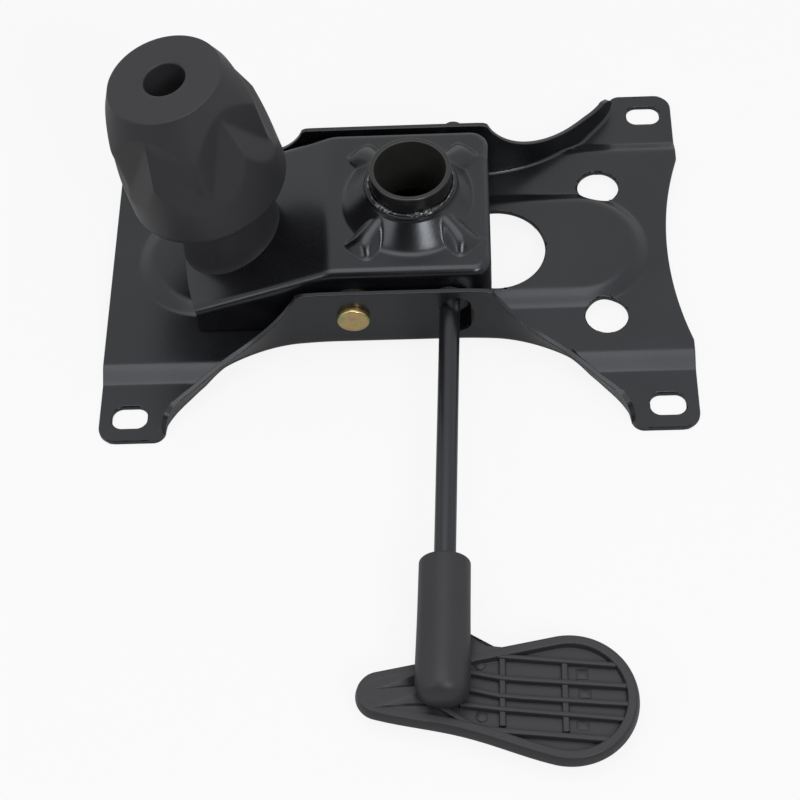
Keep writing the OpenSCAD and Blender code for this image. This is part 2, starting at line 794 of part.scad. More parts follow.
// Points of the wire: a helix between the cover's floor and the spring seat
function wire_ring(k, count, low, rise) =
  let (turn = 360 * spring_turns * k / count, pitch_a = atan2(rise, 2 * PI * spring_turns * spring_mean_r))
  [for (j = [0:spring_sides - 1])
    let (b = 360 * j / spring_sides, out = wire_d / 2 * cos(b), up = wire_d / 2 * sin(b))
    [(spring_mean_r + out) * cos(turn) + up * sin(pitch_a) * sin(turn),
     (spring_mean_r + out) * sin(turn) - up * sin(pitch_a) * cos(turn),
     low + rise * k / count + up * cos(pitch_a)]];

module tension_spring() {
  count = ceil(spring_turns * spring_rings);
  low = cover_floor + wire_d / 2 + bite;
  rise = washer_low - wire_d / 2 - bite - low;
  echo(least_gap_between_turns = rise / spring_turns - wire_d);
  n = spring_sides;
  points = [for (k = [0:count]) each wire_ring(k, count, low, rise)];
  sides = [for (k = [0:count - 1], j = [0:n - 1]) let (a = k * n + j, b = k * n + (j + 1) % n)
    each [[a, a + n, b], [b, a + n, b + n]]];
  ends = [for (j = [1:n - 2]) each [[0, j, j + 1], [count * n, count * n + j + 1, count * n + j]]];
  color(steel) at_bolt() polyhedron(points, concat(sides, ends), convexity = 10);
}

module spring_seat() {
  color(steel) at_bolt(washer_low) difference() {
    cylinder(d = seat_washer_d, h = seat_washer_t);
    translate([0, 0, -over]) cylinder(r = bolt_d / 2 + washer_gap, h = seat_washer_t + 2 * over);
  }
}

// Profile that bounds the knob: a rounded rim, straight sides and a sloping shoulder
module knob_profile() {
  r = knob_rim_round;
  translate([knob_rim_r - r, r]) circle(r);
  polygon([
    [0, 0], [knob_rim_r - r, 0], [knob_rim_r, r],
    [knob_rim_r, shoulder_z], [knob_top_r, knob_h], [0, knob_h]]);
}

// A bar or, with a taper, a pyramid round the knob's axis, with a side that faces the angle a and is r from the axis at ridge_z
module flat_sided(a, r, taper) {
  low = -knob_rim_round;
  top = knob_h + knob_rim_round;
  corner = 1 / cos(180 / flats);
  rotate(a - 180 / flats) translate([0, 0, low])
    cylinder(
      r1 = (r + (ridge_z - low) * taper) * corner, r2 = (r + (ridge_z - top) * taper) * corner,
      h = top - low, $fn = flats);
}

module tension_knob() {
  color(moulded) at_bolt(knob_start) difference() {
    union() {
      intersection() {
        rotate_extrude() knob_profile();
        flat_sided(flat_turn, flat_r, 0);
      }
      intersection() {
        rotate_extrude() knob_profile();
        flat_sided(flat_turn - ridge_turn, flat_r * cos(ridge_turn), tan(ridge_lean));
        flat_sided(flat_turn + ridge_turn, flat_r * cos(ridge_turn), tan(ridge_lean));
      }
    }
    cylinder(r1 = cavity_r, r2 = cavity_end_r, h = cavity_l);
    translate([0, 0, -over]) cylinder(r = cavity_r, h = over + bite);
    translate([0, 0, cavity_l - over]) cylinder(d = nut_af / cos(30), h = nut_h + over, $fn = 6);
    cylinder(d = knob_hole_d, h = far);
  }
}

module knob_nut() {
  color(zinc) at_bolt(washer_top) difference() {
    cylinder(d = nut_af / cos(30), h = nut_h, $fn = 6);
    translate([0, 0, -over]) cylinder(r = bolt_d / 2 + run_gap, h = nut_h + 2 * over);
  }
}

seat_plate();
pivot_pin();
pin_ring();
tilt_housing();
taper_tube();
tube_weld();
tube_stay();
pivot_sleeve();
pivot_bush_near();
pivot_bush_far();
rod_bush_near();
rod_bush_far();
spring_cover();
tension_spring();
lever_rod();
rod_clip();
release_tongue();
lever_handle();
tension_bolt();
spring_seat();
tension_knob();
knob_nut();
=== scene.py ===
"""Looks of the office chair tilt mechanism. Shapes are worked out in millimetres and written to the meshes in metres.

X runs to the back of the chair, Y to the side away from the lever, Z away from the seat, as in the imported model.
"""

import bmesh
import bpy
import numpy as np
from mathutils import Matrix


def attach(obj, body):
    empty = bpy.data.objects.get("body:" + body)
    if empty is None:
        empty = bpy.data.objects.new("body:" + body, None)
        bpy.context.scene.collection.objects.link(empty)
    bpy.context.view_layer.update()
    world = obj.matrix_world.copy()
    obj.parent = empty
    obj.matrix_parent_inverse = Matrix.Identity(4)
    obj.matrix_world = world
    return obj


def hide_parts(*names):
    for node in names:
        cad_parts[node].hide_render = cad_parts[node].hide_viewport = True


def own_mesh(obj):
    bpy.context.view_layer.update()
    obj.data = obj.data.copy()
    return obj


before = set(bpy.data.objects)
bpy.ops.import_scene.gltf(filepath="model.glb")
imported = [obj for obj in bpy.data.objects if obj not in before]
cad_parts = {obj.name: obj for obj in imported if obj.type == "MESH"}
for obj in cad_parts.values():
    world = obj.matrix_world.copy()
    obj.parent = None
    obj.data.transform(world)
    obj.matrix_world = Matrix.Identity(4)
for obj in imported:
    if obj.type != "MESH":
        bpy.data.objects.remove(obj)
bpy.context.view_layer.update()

MM = 0.001
rad = np.radians


# Grids and meshes

def quads(rows, cols, wrap_rows=False, wrap_cols=False):
    """Faces of a grid of rows by cols points; a wrapped side joins its last line to its first."""
    a, b = np.meshgrid(np.arange(rows - (not wrap_rows)), np.arange(cols - (not wrap_cols)), indexing="ij")
    c, d = (a + 1) % rows, (b + 1) % cols
    return np.stack([a * cols + b, a * cols + d, c * cols + d, c * cols + b], -1).reshape(-1, 4)


def patch(x, y, z, wrap_rows=False, wrap_cols=False):
    """Points and faces of a grid whose three coordinates are arrays over two parameters."""
    x, y, z = np.broadcast_arrays(x, y, z)
    return np.stack([x, y, z], -1).reshape(-1, 3), quads(*x.shape, wrap_rows, wrap_cols)


def facing(grid, inside):
    """The same patch with its faces turned away from the point inside."""
    p, f = grid
    n = np.cross(p[f[:, 2]] - p[f[:, 0]], p[f[:, 3]] - p[f[:, 1]])
    return (p, f) if np.sum(n * (p[f].mean(1) - inside)) > 0 else (p, f[:, ::-1])


def placed(grid, matrix, origin):
    """The patch with its points turned by a 3 by 3 matrix and moved to origin."""
    p, f = grid
    return p @ np.asarray(matrix).T + np.asarray(origin), f


def piece(name, patches, body, finish, stands_for=(), solid=True):
    """One object from patches: seams merged, poles closed, faces outwards where it is solid, riding on its body."""
    starts = np.cumsum([0] + [len(p) for p, _ in patches])
    points = np.concatenate([p for p, _ in patches]) * MM
    faces = np.concatenate([f + s for (_, f), s in zip(patches, starts)])
    mesh = bpy.data.meshes.new(name)
    mesh.from_pydata(points, [], faces.tolist())
    work = bmesh.new()
    work.from_mesh(mesh)
    bmesh.ops.remove_doubles(work, verts=work.verts, dist=2e-6)
    bmesh.ops.dissolve_degenerate(work, edges=work.edges, dist=1e-6)
    if solid:
        bmesh.ops.recalc_face_normals(work, faces=work.faces)
    work.to_mesh(mesh)
    work.free()
    obj = bpy.data.objects.new(name, mesh)
    bpy.context.collection.objects.link(obj)
    obj.data.materials.append(finish.material)
    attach(obj, body)
    if stands_for:
        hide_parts(*stands_for)
    return obj


def settle(obj):
    """Makes an object's modifiers part of its mesh."""
    mesh = bpy.data.meshes.new_from_object(obj.evaluated_get(bpy.context.evaluated_depsgraph_get()))
    obj.modifiers.clear()
    obj.data = mesh


def bar(loop, start, along, side):
    """A straight bar: a closed loop of (u, v) points, u along side and v square to both, carried from start by
    along."""
    along, side = np.asarray(along, float), np.asarray(side, float)
    third = np.cross(along, side) / np.linalg.norm(along)
    ring = np.asarray(start) + loop[:, :1] * side + loop[:, 1:] * third
    return np.concatenate([ring, ring + along])


def cut(obj, bars):
    """Cuts straight bars out of an object, all in one Boolean."""
    points, faces, first = [], [], 0
    for p in bars:
        n = len(p) // 2
        k = np.arange(n)
        faces += (np.stack([k, (k + 1) % n, (k + 1) % n + n, k + n], -1) + first).tolist()
        faces += [list(range(first + n - 1, first - 1, -1)), list(range(first + n, first + 2 * n))]
        points.append(p)
        first += 2 * n
    mesh = bpy.data.meshes.new("cutter")
    mesh.from_pydata(np.concatenate(points) * MM, [], faces)
    work = bmesh.new()
    work.from_mesh(mesh)
    bmesh.ops.recalc_face_normals(work, faces=work.faces)
    work.to_mesh(mesh)
    work.free()
    tool = bpy.data.objects.new("cutter", mesh)
    bpy.context.collection.objects.link(tool)
    step = obj.modifiers.new("cut", "BOOLEAN")
    step.operation, step.solver, step.object = "DIFFERENCE", "EXACT", tool
    settle(obj)
    bpy.data.objects.remove(tool)


def thicken(obj, thickness):
    """Gives a sheet its thickness on the side away from its faces."""
    step = obj.modifiers.new("sheet", "SOLIDIFY")
    step.thickness, step.offset = thickness * MM, -1
    settle(obj)


def smooth(obj):
    """Shades an object smooth."""
    obj.data.polygons.foreach_set("use_smooth", np.ones(len(obj.data.polygons), bool))


def soften(obj, width, angle=35, plain=None):
    """Shades an object smooth and rounds its sharp edges by width. Those whose middle has its |x| and |y| between
    the two corners of plain stay sharp, because their neighbours are too short to round."""
    smooth(obj)
    step = obj.modifiers.new("edges", "BEVEL")
    step.width, step.segments, step.angle_limit = width * MM, 2, rad(angle)
    step.limit_method, step.harden_normals, step.use_clamp_overlap = "ANGLE", True, False
    if plain is None:
        return
    mesh = obj.data
    mesh.set_sharp_from_angle(angle=rad(angle))
    marks = mesh.attributes["sharp_edge"].data
    sharp, ends = np.zeros(len(mesh.edges), bool), np.zeros(2 * len(mesh.edges), np.int32)
    points = np.zeros(3 * len(mesh.vertices), np.float32)
    marks.foreach_get("value", sharp)
    mesh.edges.foreach_get("vertices", ends)
    mesh.vertices.foreach_get("co", points)
    middle = np.abs(points.reshape(-1, 3)[ends.reshape(-1, 2)].mean(1)[:, :2]) / MM
    inside = ((middle > plain[0]) & (middle < plain[1])).all(1)
    marks.foreach_set("value", sharp & inside)
    weight = mesh.attributes.new("bevel_weight_edge", "FLOAT", "EDGE")
    weight.data.foreach_set("value", (sharp & ~inside).astype(np.float32))
    step.limit_method = "WEIGHT"


def around(count):
    """Equal steps of angle once round, without the last."""
    return np.arange(count) * 2 * np.pi / count


def circle(radius, count=96):
    """Points on a circle, as a loop."""
    a = around(count)
    return radius * np.stack([np.cos(a), np.sin(a)], -1)


def rounded_box(length, width, corner, count=10):
    """A rectangle with round corners, as a loop: four quarter circles."""
    a = (np.arange(4)[:, None] + np.linspace(0, 1, count)) * np.pi / 2
    middle = np.array([[1, 1], [-1, 1], [-1, -1], [1, -1]]) * [length / 2 - corner, width / 2 - corner]
    return (middle[:, None] + corner * np.stack([np.cos(a), np.sin(a)], -1)).reshape(-1, 2)


def soft_ramp(t, soft):
    """From 0 to 1 while t goes from 0 to 1, straight between, with both corners rounded."""
    return (t + np.sqrt(t * t + soft * soft) - (t - 1) - np.sqrt((t - 1) ** 2 + soft * soft)) / 2


def lesser(a, b, soft):
    """The smaller of two values, rounded where they meet."""
    return (a + b - np.sqrt((a - b) ** 2 + soft * soft)) / 2


def greater(a, b, soft):
    """The larger of two values, rounded where they meet."""
    return (a + b + np.sqrt((a - b) ** 2 + soft * soft)) / 2


def turned(profile, count):
    """A lathe form about Z: a closed loop of (radius, height) points carried round the axis."""
    a = around(count)[:, None]
    r, h = profile[:, 0], profile[:, 1]
    return patch(r * np.cos(a), r * np.sin(a), h + 0 * a, True, True)


def rounded_path(corners, radii, count=5):
    """An open path of straight runs whose inner corners are cut by small curves (quadratic, one for each
    corner)."""
    corners = np.asarray(corners, float)
    parts = [corners[:1]]
    for before, at, after, r in zip(corners, corners[1:], corners[2:], radii):
        a = at + (before - at) * min(r / np.linalg.norm(before - at), 0.5)
        b = at + (after - at) * min(r / np.linalg.norm(after - at), 0.5)
        t = np.linspace(0, 1, count)[:, None]
        parts.append((1 - t) ** 2 * a + 2 * t * (1 - t) * at + t * t * b)
    return np.concatenate(parts + [corners[-1:]])


# Shader maths

class Value:
    """A socket of a finish: arithmetic on it adds Math nodes."""

    def __init__(self, finish, socket):
        self.finish, self.socket = finish, socket

    def maths(self, operation, *values):
        return self.finish.node("ShaderNodeMath", {"operation": operation}, dict(enumerate(values)))

    def __add__(self, other):
        return self.maths("ADD", self, other)

    def __sub__(self, other):
        return self.maths("SUBTRACT", self, other)

    def __mul__(self, other):
        return self.maths("MULTIPLY", self, other)

    __radd__, __rmul__ = __add__, __mul__


class Finish:
    """One material for a slot of the record, made of nodes that read the piece's own coordinates."""

    def __init__(self, name, slot):
        self.slot = slot
        self.material = bpy.data.materials.new(name)
        self.material.use_nodes = True
        self.tree = self.material.node_tree
        self.shader = self.tree.nodes["Principled BSDF"]
        self.place = self.node("ShaderNodeTexCoord", out="Object")

    def node(self, kind, settings=(), sockets=(), out=0):
        """Adds a node of a kind, sets its settings, then its sockets by value or link, and returns one output."""
        made = self.tree.nodes.new(kind)
        for key, value in dict(settings).items():
            if key == "stops":
                while len(made.color_ramp.elements) < len(value):
                    made.color_ramp.elements.new(0.5)
                for stop, (at, colour) in zip(made.color_ramp.elements, value):
                    stop.position, stop.color = at, (*colour, 1)
            else:
                setattr(made, key, value)
        for key, value in dict(sockets).items():
            if isinstance(value, Value):
                self.tree.links.new(value.socket, made.inputs[key])
            else:
                made.inputs[key].default_value = value
        return Value(self, made.outputs[out])

    def noise(self, scale, detail=2.0, roughness=0.5):
        """Noise on the piece's own coordinates; scale counts features in a metre."""
        return self.node("ShaderNodeTexNoise", {},
                         {"Vector": self.place, "Scale": scale, "Detail": detail, "Roughness": roughness})

    def between(self, amount, low, high):
        """A colour between two colours."""
        return self.node("ShaderNodeMix", {"data_type": "RGBA"}, {0: amount, 6: (*low, 1), 7: (*high, 1)}, out=2)

    def spread(self, amount, low, high):
        """An amount stretched so that low gives 0 and high gives 1, and held there."""
        return self.node("ShaderNodeMapRange", {}, {0: amount, 1: low, 2: high})

    def bump(self, height, strength, distance):
        """A normal that follows a height."""
        return self.node("ShaderNodeBump", {}, {"Height": height, "Strength": strength, "Distance": distance})

    def set(self, **sockets):
        """Sets the shader's sockets by value or link."""
        for key, value in sockets.items():
            target = self.shader.inputs[key.replace("_", " ")]
            if isinstance(value, Value):
                self.tree.links.new(value.socket, target)
            else:
                target.default_value = value


def black_paint():
    """Glossy black stoved paint: nearly black underneath, with a faint orange peel and slow patches of more and
    less gloss."""
    f = Finish("gloss_black_paint", "black_paint")
    slow = f.noise(24, 3)
    peel = f.noise(900, 2, 0.45)
    f.set(Base_Color=f.between(f.spread(slow, 0.3, 0.7), (0.0046, 0.0047, 0.0056), (0.0070, 0.0071, 0.0082)),
          Roughness=0.22 + 0.08 * f.spread(slow, 0.35, 0.65) + 0.03 * peel,
          Normal=f.bump(peel, 0.10, 0.0001), Specular_Tint=(0.90, 0.94, 1.0, 1))
    return f


def socket_paint():
    """The tube's finish: black paint outside; on the taper inside a lighter, rougher colour, told apart by the distance
    from its axis. That inner colour is partly oiled bare steel and partly painted light, lifting the bore's wall as if
    light fell into it."""
    f = Finish("socket_paint", "black_paint")
    apart = f.node("ShaderNodeSeparateXYZ", {}, {0: f.place})
    x, y = (Value(f, apart.socket.node.outputs[k]) for k in (0, 1))
    off = x - SOCKET_X * MM
    outer, inner = 0.0146, 0.0142
    # Mask of the taper inside: its lighter colour is partly bare steel and partly painted light on the bore's wall.
    lit_bare_bore = f.spread(off * off + y * y, outer ** 2, inner ** 2)
    smear = f.noise(150, 3)
    f.set(Base_Color=f.between(lit_bare_bore, (0.0055, 0.0056, 0.0065), (0.016, 0.0155, 0.0132)),
          Roughness=0.26 + (0.16 + 0.2 * smear) * lit_bare_bore, Normal=f.bump(f.noise(900), 0.08, 0.0001))
    return f


def moulded_plastic():
    """Charcoal moulded plastic: a fine spark-eroded grain, and soft flow patches."""
    f = Finish("charcoal_plastic", "black_plastic")
    flow = f.noise(30, 2)
    grain = f.noise(3200, 2, 0.6)
    f.set(Base_Color=f.between(f.spread(flow, 0.3, 0.7), (0.0255, 0.0258, 0.0285), (0.0305, 0.0308, 0.0338)),
          Roughness=0.36 + 0.08 * grain + 0.05 * f.spread(flow, 0.3, 0.7),
          Normal=f.bump(grain, 0.14, 0.00006), Specular_IOR_Level=0.25)
    return f


def yellow_zinc():
    """Yellow passivated zinc: pale gold that drifts to green and rose, with a fine grain."""
    f = Finish("yellow_zinc", "zinc")
    drift = f.noise(190, 3)
    stops = [(0.32, (0.34, 0.36, 0.17)), (0.5, (0.52, 0.41, 0.17)), (0.66, (0.50, 0.30, 0.20))]
    tint = f.node("ShaderNodeValToRGB", {"stops": stops}, {0: drift})
    fine = f.noise(2600, 2)
    f.set(Base_Color=tint, Metallic=1.0, Roughness=0.26 + 0.16 * fine, Normal=f.bump(fine, 0.1, 0.00005))
    return f


def bare_steel(name, slot, low, high, rough):
    """Oiled steel: grey metal with a fine grain and darker stains."""
    f = Finish(name, slot)
    stain = f.noise(160, 4)
    fine = f.noise(1900, 3)
    f.set(Base_Color=f.between(f.spread(stain, 0.3, 0.7), low, high), Metallic=1.0,
          Roughness=rough + 0.2 * fine, Normal=f.bump(fine, 0.15, 0.00006))
    return f


def weld_paint():
    """Painted weld: black paint over a rough bead, worn to bright metal on its crests."""
    f = Finish("painted_weld", "weld")
    grit = f.noise(1000, 4, 0.65)
    worn = f.spread(grit, 0.54, 0.64)
    f.set(Base_Color=f.between(worn, (0.008, 0.008, 0.009), (0.30, 0.30, 0.31)),
          Roughness=0.18 + 0.25 * grit, Metallic=0.6 * worn, Normal=f.bump(grit, 0.6, 0.0004))
    return f


def black_nylon():
    """Black nylon: near black with a faint cloud and a fine grain."""
    f = Finish("black_nylon", "nylon")
    cloud = f.noise(220, 3)
    f.set(Base_Color=f.between(cloud, (0.010, 0.010, 0.011), (0.016, 0.016, 0.017)), Roughness=0.42 + 0.12 * cloud,
          Normal=f.bump(f.noise(2400), 0.08, 0.00005))
    return f


paint, plastic, zinc, nylon, weld = black_paint(), moulded_plastic(), yellow_zinc(), black_nylon(), weld_paint()
steel = bare_steel("oiled_steel", "spring_steel", (0.16, 0.165, 0.175), (0.34, 0.345, 0.355), 0.3)


# Seat plate

SHEET, BEND = 2.0, 3.4
CHEEK_X, CHEEK_Y, CHEEK_TOP = 38.0, 43.5, 35.5
TAB_X, TAB_Y, TAB_CORNER = 117.0, 86.0, 7.0
BACK_R, BACK_REACH = 157.0, 47.0  # the circle that hollows the back end, and half the width of the hollow
RAMP_Y, RAMP_RUN, RIB_R, RIB_RUN, STEP = 52.0, 6.5, 23.0, 5.5, 3.5  # where the sheet steps up to the middle and to the rib
SHEET_MID, SHEET_SIDE = 30.0, 66.0  # across the chair, where the grid's columns change and where the tabs' own rows begin
LIP_RUN, LIP_FADE = 3.5, 8.0  # along the edge, where the lip's bend opens out and where its height fades
PIVOT = np.array([-16.3, 0, 21.6])


def waist_swell(x):
    """How far the sheet's edge stands out from the waist's circle: nothing at the cheek and at the tab, most
    between them."""
    grow, fade = np.clip((np.abs(x) - 24) / 40, 0, 1), np.clip((92 - np.abs(x)) / 11, 0, 1)
    return 2.0 * grow * grow * (3 - 2 * grow) * fade * fade * (3 - 2 * fade)


def plate_side():
    """One long side of the plate from its middle to the tab's side: straight cheek, hollow waist and small corner,
    as a line and two arcs, the waist a little swelled. Gives the folded points of the first two with their outward
    normals, then the corner's points."""
    waist_r, small = 55.0, 5.0
    waist = np.array([CHEEK_X, CHEEK_Y + waist_r])
    inner = np.array([CHEEK_X + np.sqrt((waist_r + small) ** 2 - (waist[1] - TAB_Y + small) ** 2), TAB_Y - small])
    touch = np.arctan2(inner[1] - waist[1], inner[0] - waist[0])

    def arc(middle, r, first, last, count):
        a = np.linspace(first, last, count + 1)[1:]
        spoke = np.stack([np.cos(a), np.sin(a)], -1)
        return middle + r * spoke, spoke

    count = 24
    straight = np.stack([np.linspace(0, CHEEK_X, count), np.full(count, CHEEK_Y)], -1)
    hollow, spoke = arc(waist, waist_r, -np.pi / 2, touch, 72)
    corner, _ = arc(inner, small, touch + np.pi, np.pi / 2, 14)
    points = np.concatenate([straight, hollow])
    normal = np.concatenate([np.tile([0.0, 1.0], (count, 1)), -spoke])
    return points + normal * waist_swell(points[:, :1]), normal, corner


def plate_under(x, y):
    """Height of the sheet's underside: tabs at zero, a ramp up to the middle, and a raised stadium rib on that."""
    off = np.hypot(x - np.clip(x, -77.0, 73.0), y)
    ramp, rib_side = soft_ramp((np.abs(y) - RAMP_Y) / RAMP_RUN, 0.1), soft_ramp((off - RIB_R) / RIB_RUN, 0.16)
    return STEP * (1 - ramp) + STEP * (1 - rib_side)


def cheek_top(x):
    """Height of the cheek along the chair: level, then a fall that fades out to the low lip, with a rounded
    shoulder."""
    past = (np.abs(x) - CHEEK_X) / 13.5
    fall = np.where(past > 0, 9.6 + 25.9 * np.exp(-np.clip(past, 0, None) ** 0.85), CHEEK_TOP - 31 * past)
    return lesser(CHEEK_TOP + 0.1, fall, 1.6)


def lip_lean(x):
    """How far the top of the lip leans outwards: nothing at the cheek, most along the waist, little at its end."""
    grow = np.clip((np.abs(x) - 40) / 32, 0, 1)
    fade = np.clip((np.abs(x) - 74) / 16.5, 0, 1)
    return 3.6 * grow * (2 - grow) * (1 - fade * fade)


def tab_grid(rows_y, rows_x, sign):
    """One end of the plate with its two tabs: rows across the chair at rows_y, each from the waist to the
    round-cornered end, which is hollowed by a large circle at the back."""
    y = np.concatenate([-rows_y[:0:-1], rows_y])[:, None]
    first = np.concatenate([rows_x[:0:-1], rows_x])[:, None]
    past = np.clip(np.abs(y) - TAB_Y + TAB_CORNER, 0, TAB_CORNER)
    last = TAB_X - TAB_CORNER + np.sqrt(TAB_CORNER ** 2 - past ** 2)
    if sign > 0:
        last = last - np.clip(np.sqrt(BACK_R ** 2 - y ** 2) - np.sqrt(BACK_R ** 2 - BACK_REACH ** 2), 0, None)
    x = sign * (first + (last - first) * np.linspace(0, 1, 36))
    return patch(x, y + 0 * x, plate_under(x, y))


def seat_pressing():
    """The pressed plate in five grids that share their edges: the sheet between the waists, an end with two tabs at
    the front and at the back, and along each waist a skirt that turns up in a round bend to the cheek's top and
    flattens out at its ends. The far skirt leans out less, by the waist's swell."""
    half, normal, corner = plate_side()
    bend = half - normal * BEND
    last = int(np.argmax(half[:, 1] > SHEET_SIDE))
    inner, share = np.linspace(0, SHEET_MID, 25)[:-1], np.linspace(0, 1, 48)
    rows = np.concatenate([(bend[:last + 1] * [-1, 1])[:0:-1], bend[:last + 1]])
    y = np.concatenate([np.tile(inner, (len(rows), 1)), SHEET_MID + (rows[:, 1:] - SHEET_MID) * share], 1)
    across_bend = np.linspace(0, 1, 8)
    opened = bend[-1] + normal[-1] * BEND * across_bend[1:, None]
    ends_y = np.concatenate([y[-1], bend[last + 1:, 1], opened[:, 1], corner[:, 1]])
    ends_x = np.concatenate([np.full(y.shape[1], bend[last, 0]), bend[last + 1:, 0], opened[:, 0], corner[:, 0]])
    y = np.concatenate([-y[:, :0:-1], y], 1)
    x = rows[:, :1] + 0 * y
    grids = [patch(x, y, plate_under(x, y)), tab_grid(ends_y, ends_x, 1), tab_grid(ends_y, ends_x, -1)]
    p = np.concatenate([(half * [-1, 1])[:0:-1], half])
    n = np.concatenate([(normal * [-1, 1])[:0:-1], normal])
    b = np.concatenate([(bend * [-1, 1])[:0:-1], bend])
    low = plate_under(b[:, :1], b[:, 1:])
    to_end = np.hypot(*(half[-1] - half).T)
    to_end = np.concatenate([to_end[:0:-1], to_end])[:, None]
    full, fade = np.clip(to_end / LIP_RUN, 0, 1), np.sqrt(np.clip(to_end / LIP_FADE, 0, 1))
    angle = np.pi / 2 * np.clip(full ** 0.7, 0.0005, 1)
    turn, rise = angle * across_bend, np.linspace(0, 1, 11)[1:]
    edge, height = low + BEND * np.tan(angle / 2), (cheek_top(p[:, :1]) - low - BEND) * fade
    skirt_z = np.concatenate([low + BEND * (1 - np.cos(turn)) / np.sin(angle), edge + height * rise], 1)
    for side, upright in ((1, 1.0), (-1, 0.0)):
        lean = lip_lean(p[:, :1]) - upright * waist_swell(p[:, :1])
        out = np.concatenate([BEND * np.sin(turn) / np.sin(angle), BEND + lean * full * rise], 1)
        grids.append(patch(b[:, :1] + n[:, :1] * out, side * (b[:, 1:] + n[:, 1:] * out), skirt_z))
    above = np.array([0, 0, 30.0])
    obj = piece("seat_pressing", [facing(g, above) for g in grids], "seat", paint, ["seat_plate"], solid=False)
    thicken(obj, SHEET)
    up, side = np.array([0, 0, 60.0]), np.array([1.0, 0, 0])
    slots = [bar(rounded_box(14, 10, 4.2), (sx * 105, sy * 75, -10), up, side) for sx in (-1, 1) for sy in (-1, 1)]
    holes = [bar(circle(r), (hx, hy, -10), up, side)
             for r, hx, hy in [(20, 40.2, -1.5), (8.5, 83.4, 32.4), (8.5, 83.5, -34.0), (7, -62.8, 0)]]
    across = np.array([0, 20.0, 0])
    rod_slots = [bar(rounded_box(10.8, high - low, 5.39), (22.8 - 0.027 * sy, sy, (high + low) / 2), across, side)
                 for sy, low, high in [(-52, 10.5, 31.5), (32, 12.5, 31.4)]]
    pin_holes = [bar(circle(4.55), (PIVOT[0], sy, PIVOT[2]), across, side) for sy in (-52, 32)]
    cut(obj, slots + holes + rod_slots + pin_holes)
    lip_ends = (82.0, 74.0), (97.0, 88.0)
    soften(obj, 0.35, plain=lip_ends)


# Tilt housing

TOP, FOLD, JOIN_X, ARM_X = 39.5, 3.6, -22.1, -25.0
WALL_Y, BACK_X, BACK_LOW, CORNER = 36.5, 38.0, 22.2, 7.0
FRONT_X, FRONT_R = -85.5, 110.0
SOCKET_X, COLLAR_R, FLARE, COLLAR_TOP = 7.4, 18.1, 9.7, 50.0
ARM_SLOPE, ROD_AT = np.tan(rad(21.0)), np.array([22.6, 0, 25.0])


def arm_drop(x):
    """How far the arm lies below the level top: a straight slope with a rounded bend."""
    soft = ARM_X - JOIN_X
    a = np.clip(ARM_X - x, soft, None)
    bend = np.clip(ARM_X - x, soft, -soft)
    return ARM_SLOPE * np.where(a > -soft, a, (bend - soft) ** 2 / (-4 * soft))


def flare_rise(x, y):
    """Height of the drawn collar's flare above the top: a cone round the socket with a small round foot, steeper at
    the back."""
    dx = x - SOCKET_X
    r = np.hypot(dx, y)
    foot = 27.9 - 3.4 * np.clip(dx / r, 0, 1) ** 3
    return greater(FLARE * (foot - r) / (foot - COLLAR_R), 0 * r, 1.1)


def gusset_rise(x, y):
    """Height of the four gussets: a half-round rib on each diagonal whose crest falls outwards and drops off at its
    end."""
    heading = rad(np.array([48.0, 130.0, -130.0, -48.0]))
    dx, y = (x - SOCKET_X)[..., None], y[..., None]
    along = dx * np.cos(heading) + y * np.sin(heading)
    across = np.abs(y * np.cos(heading) - dx * np.sin(heading))
    crest = np.clip(lesser(8.8 - 0.27 * (along - COLLAR_R), 1.7 * (35.2 - along), 3.0), 0, None) * (along > 0)
    return np.max(crest * np.clip(1 - (across / 6.4) ** 2, 0, 1) ** 0.85, -1)


def low_edge(x):
    """Height of the housing's lower edge: level in front of the pivot, rising behind it."""
    return 6.0 + np.clip(x - PIVOT[0], 0, None) * 0.2217


